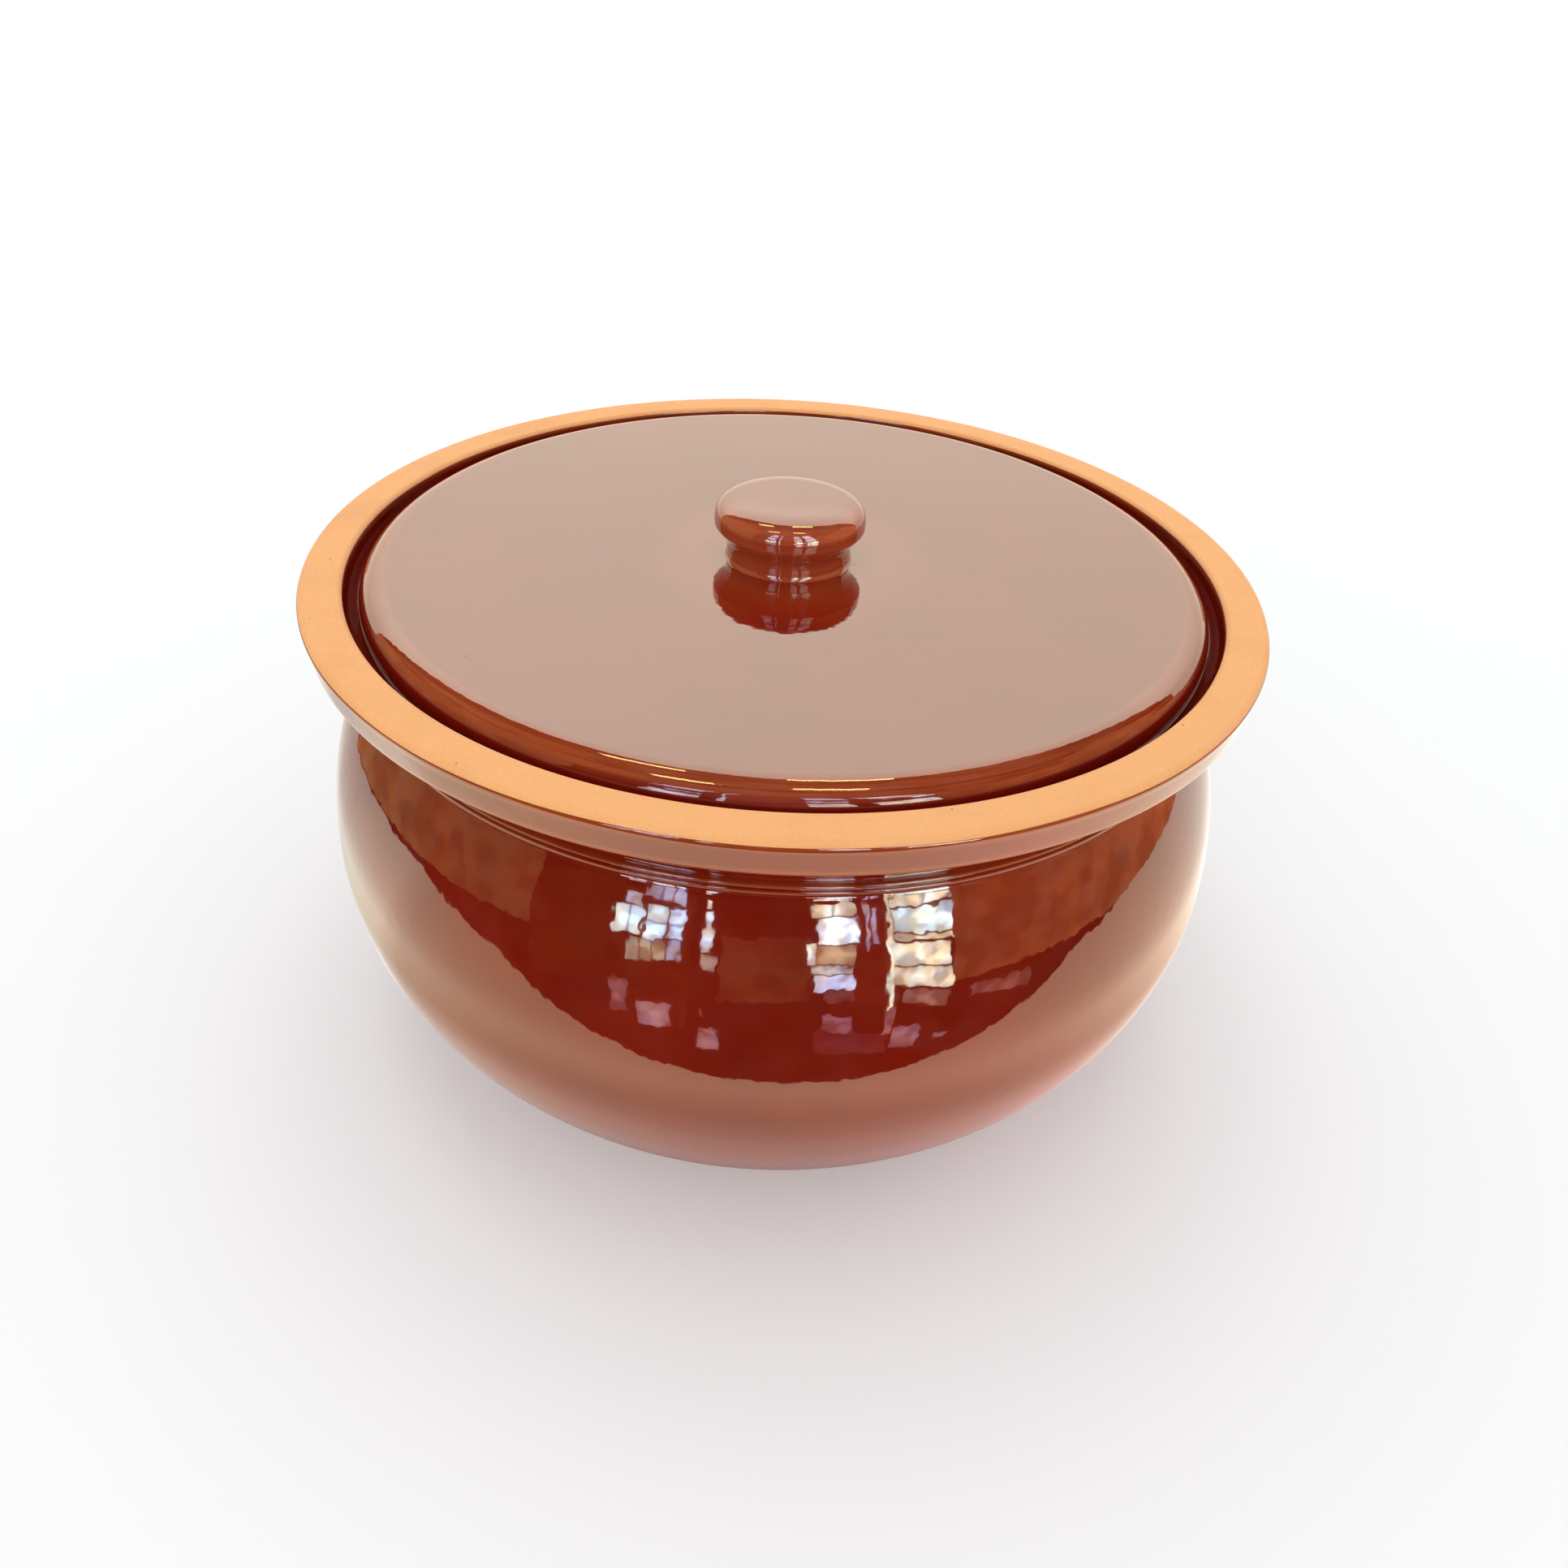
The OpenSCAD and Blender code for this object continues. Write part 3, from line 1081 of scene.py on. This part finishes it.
# The windows, and under them the objects in the room that their light falls on
WINDOWS = (
    Pane(-33, -28.6, 9, 13, "#D5DAF8", 9),
    Pane(-28, -19, 12.5, 17, "#C9D2F8", 9, (3, 1)),
    Pane(-34.5, -28.4, (1, 2), (8, 9), "#D2EAF6", 15, (2, 1)),
    Pane(-27.7, -22.5, (0.5, 1.5), (11, 11.5), "#D4EEFA", 17, (1, 2)),
    Pane(-22, -18.5, (2, 3), (11, 12), "#CFE4FF", 14, (1, 2)),
    Pane(-31, -22.3, (-6, -4), (0.5, 1), "#E8DCBC", 6, (3, 1)),
    Pane(-22, -19, (-4, -3), (1.5, 2.5), "#C4D0EC", 7),
    Pane(-14.2, -13, 13, 16, "#FFFFFF", 12),
    Pane(-14.2, -12, 1, 12, "#E2ECF8", 14),
    Pane(-14.4, -11, -5, 0.5, "#D8C8BC", 4.5),
    Pane(10, 20, (13, 12.5), 16, "#FFF6E4", 12, (2, 1)),
    Pane(11.5, 20.5, (5.3, 5), (12.5, 12), "#EEF6FF", 20),
    Pane(11, 20, (-1, -1.5), (5, 4.5), "#E4C49A", 7.6),
    Pane(9, 11, -1, 6, "#FFFFFF", 13),
    Pane(10, 20, (-3.6, -4), (-1.3, -1.8), "#D8DCE4", 8),
    Pane(11, 20, -9, (-4, -4.4), "#D5DCFF", 13),
    Pane(14, 20, -12.5, -9.5, "#B08078", 2.2),
    Pane(13, 20.5, (-22, -23), (-16, -17), "#C890A0", 3.8),
    Pane(22.6, 23.4, 2, (16, 15), "#D8C8E8", 6),
    Pane(24, 25.5, 4, 14, "#D0C0E8", 7),
    Pane(27.6, 28.8, -20, 17, "#FFF4DC", 12),
    Pane(29, 43, (12.8, 11.8), (16, 15.5), "#FFF6E0", 13, (2, 1)),
    Pane(29, 43, (6, 3.2), (12.2, 11), "#DCF2FA", 18),
    Pane(29, 43, (4.4, 1), (5.6, 2.6), "#FFF6D8", 10),
    Pane(28.5, 42, (-3, -6.5), (3.6, 0.2), "#FBF2D8", 14),
    Pane(28.5, 42.5, (-9, -13), (-3.5, -7.2), "#FBEFD6", 12),
    Pane(31, 42, (-15, -18.5), (-10.5, -14), "#D8A898", 4),
    Pane(27, 29.5, -24.5, -16, "#C890A0", 4.2),
    Pane(30, 36, (-29, -30), (-22, -23), "#C8A0B0", 4.2),
    Pane(40, 43, -28, -26.5, "#C8A0B0", 3.5),
    Pane(47, 62, (-17, -20), (-14, -15), "#D09890", 2.6),
    Pane(-34, -30.5, -22.5, -12, "#C89098", 3.8),
    Pane(-29, -19, (-29, -26), (-16, -13), "#8A4A40", 1.2),
    Pane(-28, -20.5, (-25, -24), (-18, -17), "#D0A8B0", 4.8),
    Pane(-14.5, -9.5, -29.5, -22.5, "#D0A0A8", 4.6),
    Pane(-14, -13, -19, -16, "#C08080", 3),
    Pane(-33, -19, 20, 35, "#D8DEF8", 8),
    Pane(-33, -19, 38, 60, "#C8CCF8", 8),
    Pane(-14, -12, 20, 60, "#E8E8F8", 6),
    Pane(9, 20, 20, 35, "#F4EEE8", 9),
    Pane(9, 20, 38, 60, "#D0D4FF", 8),
    Pane(26, 42, (20, 18), 35, "#F6F0E4", 9),
    Pane(26, 42, 38, 60, "#DCDFFF", 10),
)
WALLS = (
    Pane(-125, -54, (-17, -7), 65, "#FFBA7C", 1.15),
    Pane(-54, -34, (-20, -14), (8, 17), "#D08050", 0.55),
    Pane(-34, -17, (-27, -25), (14, 16), "#D88058", 0.6),
    Pane(43, 116, (-12, -14), 45, "#FF9C68", 1.9),
    Pane(-12, 9, 18, 55, "#F09080", 1.0),
    Pane(19.5, 29.5, -14, 16, "#E06048", 1.2),
    Pane(-10, 10, (-14, -12), (6, 7), "#FFAD76", 0.75),
    Pane(12, 29, (-30, -31), (-22, -24), "#D8808C", 1.0),
)
# How much the floor glows to the camera: distance from the pot, and strength
FLOOR_LIFT = ((0.3, 0.17), (2.0, 0.42))
# Middles of the ceiling's lamps, half their width and depth, and their light
CEILING_LAMPS = ((-0.46, 0.75, 2.0), (0.22, 0.9, 2.0), (-0.44, -0.25, 2.0), (0.26, -0.13, 2.0))
CEILING_LAMP_HALF = (0.17, 0.07)
CEILING_LAMP_LIGHT = (20.0, 14.0, 5.4)
# The dim light of the rest of the room, and what the ceiling adds to it over a range of rises
DIM_LIGHT = (0.09, 0.05, 0.035)
CEILING_LIGHT = (0.5, 0.32, 0.2)
CEILING_RISE = (32, 72)
# The light on the table: azimuth in degrees from the front, then red, green and blue
TABLE_LIGHT = (
    (-180, 1.25, 1.15, 1.02), (-112, 1.00, 0.91, 0.84), (-102, 1.15, 1.12, 1.00), (-90, 1.70, 1.62, 1.30),
    (-80, 2.12, 1.90, 1.50), (-71, 1.80, 1.52, 1.10), (-50, 2.15, 1.55, 0.98), (-20, 2.30, 1.60, 1.05),
    (4, 2.40, 1.57, 1.04), (52, 2.72, 1.63, 1.12), (84, 2.25, 1.66, 1.20), (111, 1.62, 1.49, 1.35),
    (130, 1.35, 1.22, 1.10), (180, 1.25, 1.15, 1.02),
)
# The table's edge, from its back left corner round the front
TABLE_EDGE = (
    (-5, 5), (-0.403, 0.155), (-0.494, 0.033), (-0.501, -0.115), (-0.322, -0.24), (0, -0.228),
    (0.425, -0.191), (0.594, -0.043), (0.638, 0.2), (5, 5), (-5, 5),
)
# The pot's contact shadow on the table: distance from the axis, and the share of light
TABLE_SHADOW = ((0.09, 0.1), (0.105, 0.2), (0.12, 0.41), (0.141, 0.62), (0.172, 0.65), (0.214, 1.0))
# What a whiter ring on the table adds, and what the shadow's bluer middle adds up to its radii
TABLE_RING = (0.15, 0.19, 0.25)
TABLE_SHADOW_HUE = (-0.08, 0.0, 0.4)
TABLE_SHADOW_RADII = (0.12, 0.18)
# The light of the arch behind: the sine of the rise, or the place across it, and the strength
ARCH_LIGHT = ((0.242, 1.9), (0.42, 2.75), (0.588, 4.1))
ARCH_SIDES = ((-0.8, 0.87), (0.2, 1.0))
# The warmest and the coolest tint of mirrored light
WARM = (1.1, 0.98, 0.78)
COOL = (0.86, 1.0, 1.12)
# The noise's values that give the faintest and the strongest patch, and the two tints
PATCH_NOISE = (0.36, 0.64)
TINT_NOISE = (0.4, 0.6)


class Mirrored:
    """Surfaces that only reflections see, as one mesh with a light at each vertex."""

    def __init__(self, name: str) -> None:
        """Starts an empty mesh.

        Args:
            name: Its name.
        """
        self.name = name
        self.places = np.empty((0, 3))
        self.lights = np.empty((0, 3))
        self.faces: list[list[int]] = []

    def add(self, places: Array, light: Array) -> None:
        """Adds one grid.

        Args:
            places: Rows by columns by x, y and z.
            light: The linear colour times the strength, of the same shape or
                one that spreads to it.
        """
        rows, columns = places.shape[:2]
        number = len(self.places) + np.arange(rows * columns).reshape(rows, columns)
        ring = (number[:-1, :-1], number[:-1, 1:], number[1:, 1:], number[1:, :-1])
        self.faces += np.stack(ring, -1).reshape(-1, 4).tolist()
        self.places = np.vstack((self.places, places.reshape(-1, 3)))
        self.lights = np.vstack((self.lights, np.broadcast_to(light, places.shape).reshape(-1, 3)))

    def hang(self, patch_size: float = 0.3, faint: float = 1.0, strong: float = 1.0) -> Piece:
        """Makes the object, broken into brighter and fainter patches by noise.

        Args:
            patch_size: The size of a patch.
            faint: The factor in the faintest patches.
            strong: The factor in the strongest; above 1 their tint varies too.

        Returns:
            The object.
        """
        mesh = bpy.data.meshes.new(self.name)
        mesh.from_pydata(self.places.tolist(), [], self.faces)
        colours = np.column_stack((self.lights, np.ones(len(self.lights)))).astype(np.float32)
        mesh.attributes.new("light", "FLOAT_COLOR", "POINT").data.foreach_set("color", colours.ravel())
        glow = bpy.data.materials.new(self.name)
        tree = emptied_tree(glow)
        place = add_node(tree, "TexCoord").outputs["Object"]
        patch = add_node(tree, "TexNoise", {"Vector": place, "Scale": 1 / patch_size, "Detail": 1.0})
        low, high = PATCH_NOISE
        strength = add_node(tree, "MapRange", {0: patch, 1: low, 2: high, 3: faint, 4: strong})
        light = add_node(tree, "Attribute", attribute_name="light")
        warm, cool = (
            add_node(tree, "VectorMath", {0: light, 1: tint}, operation="MULTIPLY") for tint in (WARM, COOL)
        )
        hue: Any = 0.5
        if strong > 1:
            low, high = TINT_NOISE
            hue = add_node(tree, "MapRange", {0: patch.outputs["Color"], 1: low, 2: high})
        tinted = add_node(tree, "Mix", {0: hue, 6: warm, 7: cool}, data_type="RGBA")
        emission = add_node(tree, "Emission", {"Color": tinted, "Strength": strength})
        add_node(tree, "OutputMaterial", {"Surface": emission})
        mesh.materials.append(glow)
        made = placed(self.name, mesh)
        for ray in ("camera", "diffuse", "shadow", "transmission", "volume_scatter"):
            setattr(made, f"visible_{ray}", False)
        return made


@dataclass
class Studio:
    """The floor, the lights, the room that the glaze mirrors, and the camera."""

    rim_h: float
    distance: float = 0.4164
    elevation: float = 25.45
    yaw: float = -0.38
    tip: float = -9.31
    roll: float = -3.35
    focal_px: float = 1700
    frame_px: float = 1932
    sensor: float = 36.0
    reach: float = 5.0
    pane_gap: float = 0.01
    dome_reach: float = 6.0
    floor_half: float = 9.0
    fill: float = 0.72
    table_inner: float = 80 * MM
    ring_r: float = 0.212
    ring_w: float = 0.035
    arch_middle: float = 177
    arch_half: float = 61
    arch_foot: float = -2
    arch_rise: float = 62

    def camera(self) -> None:
        """Sets the camera where the photograph was taken from.

        It looks at the middle of the rim, then turns by yaw, tip and roll.
        """
        lens = bpy.data.cameras.new("camera")
        lens.sensor_fit = "HORIZONTAL"
        lens.sensor_width = self.sensor
        lens.lens = self.sensor * self.focal_px / self.frame_px
        lens.clip_start = 0.01
        made = placed("camera", lens)
        tilt = math.radians(self.elevation)
        way = Vector((0, -math.cos(tilt), math.sin(tilt)))
        made.matrix_world = (
            Matrix.Translation(Vector((0, 0, self.rim_h)) + way * self.distance)
            @ Matrix.Rotation(math.pi / 2 - tilt, 4, "X")
            @ Matrix.Rotation(math.radians(self.yaw), 4, "Y")
            @ Matrix.Rotation(math.radians(self.tip), 4, "X")
            @ Matrix.Rotation(math.radians(-self.roll), 4, "Z")
        )
        bpy.context.scene.camera = made

    def floor(self) -> None:
        """Lays the matte white paper floor, which the camera sees fade to white far off."""
        paper = bpy.data.materials.new("matte_white_paper")
        tree = emptied_tree(paper)
        place = add_node(tree, "TexCoord").outputs["Object"]
        far = add_node(tree, "VectorMath", {0: place}, operation="LENGTH")
        (near_r, near_lift), (far_r, far_lift) = FLOOR_LIFT
        lift = add_node(tree, "MapRange", {0: far, 1: near_r, 2: far_r, 3: near_lift, 4: far_lift})
        seen = add_node(tree, "LightPath").outputs["Is Camera Ray"]
        shader = add_node(tree, "BsdfPrincipled", {
            "Base Color": linear("#F3F5F6"),
            "Roughness": 1.0,
            "Specular IOR Level": 0.0,
            "Emission Color": linear("#FFFFFF"),
            "Emission Strength": add_node(tree, "Math", {0: lift, 1: seen}, operation="MULTIPLY"),
        })
        add_node(tree, "OutputMaterial", {"Surface": shader})
        half = self.floor_half
        mesh = bpy.data.meshes.new("floor")
        corners = [(-half, -half, 0), (half, -half, 0), (half, half, 0), (-half, half, 0)]
        mesh.from_pydata(corners, [], [(0, 1, 2, 3)])
        mesh.materials.append(paper)
        sheet = placed("floor", mesh)
        sheet.visible_glossy = False

    def table(self) -> None:
        """Lays the table top that the lower belly mirrors.

        Its rows grow by even factors from table_inner to the edge. The light goes
        by azimuth, falls to the pot's own contact shadow, which is bluer, and is a
        little stronger and whiter in a ring round it.
        """
        corners = np.arange(len(TABLE_EDGE))
        steps = np.linspace(0, corners[-1], 12 * corners[-1] + 1)
        rim_x, rim_y = (np.interp(steps, corners, values) for values in zip(*TABLE_EDGE))
        share = (self.table_inner / np.hypot(rim_x, rim_y)) ** np.linspace(1, 0, 60)[:, None]
        x, y = share * rim_x, share * rim_y
        far = np.hypot(x, y)
        shadow = np.interp(far, *zip(*TABLE_SHADOW))
        ring = np.exp(-(((far - self.ring_r) / self.ring_w) ** 2))[..., None] * np.array(TABLE_RING)
        ring += np.interp(far, TABLE_SHADOW_RADII, (1, 0))[..., None] * np.array(TABLE_SHADOW_HUE)
        azimuths, *channels = zip(*TABLE_LIGHT)
        azimuth = np.degrees(np.arctan2(x, -y))
        colour = np.stack([np.interp(azimuth, azimuths, channel) for channel in channels], -1)
        table = Mirrored("lit_table_top")
        table.add(np.stack((x, y, 0 * x), -1), colour * shadow[..., None] * (1 + ring))
        table.hang()

    def back_panel(self) -> None:
        """Hangs the broad soft arch that the lid mirrors.

        Column u from -1 to 1 rises to arch_rise sqrt(1 - u^2) degrees, and the
        light grows with the sine of the rise.
        """
        u = np.linspace(-0.999, 0.999, 61)
        climb = np.linspace(0, 1, 25)[:, None]
        rise = self.arch_foot + climb * (self.arch_rise * np.sqrt(1 - u**2) - self.arch_foot)
        strength = np.interp(np.sin(np.radians(rise)), *zip(*ARCH_LIGHT)) * np.interp(u, *zip(*ARCH_SIDES))
        light = np.array(linear("#FFF8E6")[:3]) * strength[..., None]
        panel = Mirrored("soft_back_panel")
        azimuth = self.arch_middle + self.arch_half * u + 0 * climb
        panel.add(heading(azimuth, rise) * self.reach, light)
        panel.hang()

    def room(self) -> None:
        """Hangs the windows, the walls behind them, the ceiling's lamps and the dim dome.

        Each pane hangs a little nearer than the one before, so that it covers it.
        """
        windows, walls = Mirrored("windows"), Mirrored("lit_walls")
        for mesh, panes, edge, far in ((windows, WINDOWS, 0.45, 1.0), (walls, WALLS, 0.8, 1.1)):
            for i, pane in enumerate(panes):
                mesh.add(pane.places(self.reach * far - self.pane_gap * i), pane.light(edge))
        windows.hang(patch_size=0.35, faint=0.7, strong=1.7)
        walls.hang(patch_size=0.65, faint=0.7, strong=1.22)
        lamps = Mirrored("ceiling_lamps")
        across, along = np.meshgrid(*((-half, half) for half in CEILING_LAMP_HALF))
        for x, y, z in CEILING_LAMPS:
            lamps.add(np.stack((x + across, y + along, z + 0 * along), -1), np.array(CEILING_LAMP_LIGHT))
        lamps.hang()
        dome = Mirrored("dim_room")
        azimuth, rise = np.meshgrid(np.linspace(0, 360, 49), np.linspace(-90, 90, 31))
        overhead = np.interp(rise, CEILING_RISE, (0, 1))[..., None]
        light = np.array(DIM_LIGHT) + overhead * np.array(CEILING_LIGHT)
        dome.add(heading(azimuth, rise) * self.dome_reach, light)
        dome.hang(patch_size=1.0, faint=0.4, strong=1.6)

    def lamp(self, name: str, place: tuple[float, float, float], size: float, power: float) -> None:
        """Hangs a soft square lamp that points at the pot and isn't mirrored.

        Args:
            name: Its name.
            place: Where it hangs.
            size: Its side.
            power: Its power in watts.
        """
        data = bpy.data.lights.new(name, "AREA")
        data.size = size
        data.energy = power
        made = placed(name, data)
        made.location = place
        aim = Vector((0, 0, self.rim_h / 2)) - Vector(place)
        made.rotation_euler = aim.to_track_quat("-Z", "Y").to_euler()
        made.visible_glossy = False

    def world(self) -> None:
        """Fills the shadows with a plain pale world.

        Camera, glossy and transmission rays see it at a strength of 1.
        """
        made = bpy.data.worlds.new("pale_world")
        bpy.context.scene.world = made
        tree = emptied_tree(made)
        path = add_node(tree, "LightPath").outputs
        seen: Any = 0.0
        for ray in ("Is Camera Ray", "Is Glossy Ray", "Is Transmission Ray"):
            seen = add_node(tree, "Math", {0: seen, 1: path[ray]}, operation="MAXIMUM")
        strength = add_node(tree, "MapRange", {0: seen, 3: self.fill})
        background = add_node(tree, "Background", {"Color": linear("#FFFFFF"), "Strength": strength})
        add_node(tree, "OutputWorld", {"Surface": background})

    def build(self) -> None:
        """Sets up the whole studio."""
        self.camera()
        self.world()
        self.floor()
        self.table()
        self.back_panel()
        self.room()
        self.lamp("soft_top", (-0.15, 0.35, 1.5), size=1.1, power=4.3)
        self.lamp("soft_front", (-0.3, -1.5, 0.8), size=1.2, power=4.4)


def main() -> None:
    """Builds the studio and every piece."""
    logging.basicConfig(level=logging.INFO, format="%(name)s: %(message)s")
    bpy.context.scene.view_settings.view_transform = "Standard"
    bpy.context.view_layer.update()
    pot_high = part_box("pot")[1]
    lid_low, lid_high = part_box("lid")
    knob_low, knob_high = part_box("knob")
    pot_glaze = IronRedGlaze("iron_red_glaze_on_pot", "pot_glaze")
    lid_glaze = IronRedGlaze("iron_red_glaze_on_lid", "lid_glaze", cloud_strength=0.2)
    # The knob's thin colour is lighter than the pot's and lid's: partly painted reflection on the cap's side
    # and neck
    knob_glaze = IronRedGlaze("iron_red_glaze_on_knob", "knob_glaze", thin="#AA4A2C", cloud_strength=0.2)
    clay = BareTerracotta("bare_terracotta", "bare_clay")

    Studio(rim_h=pot_high.z).build()
    vessel = Vessel(rim_r=pot_high.x, rim_h=pot_high.z, seat_h=lid_low.z)
    lid = Lid(edge_r=lid_high.x, seat_h=lid_low.z, top_h=lid_high.z)
    knob = Knob(cap_r=knob_high.x, foot_h=knob_low.z, top_h=knob_high.z)
    for ware, finishes in ((vessel, (pot_glaze, clay)), (lid, (lid_glaze, clay)), (knob, (knob_glaze,))):
        pieces = ware.build()
        ware.dress(pieces, *finishes)
        for piece in pieces:
            log.info("%s: %d faces", piece.name, len(piece.data.polygons))


if __name__ == "__main__":
    main()
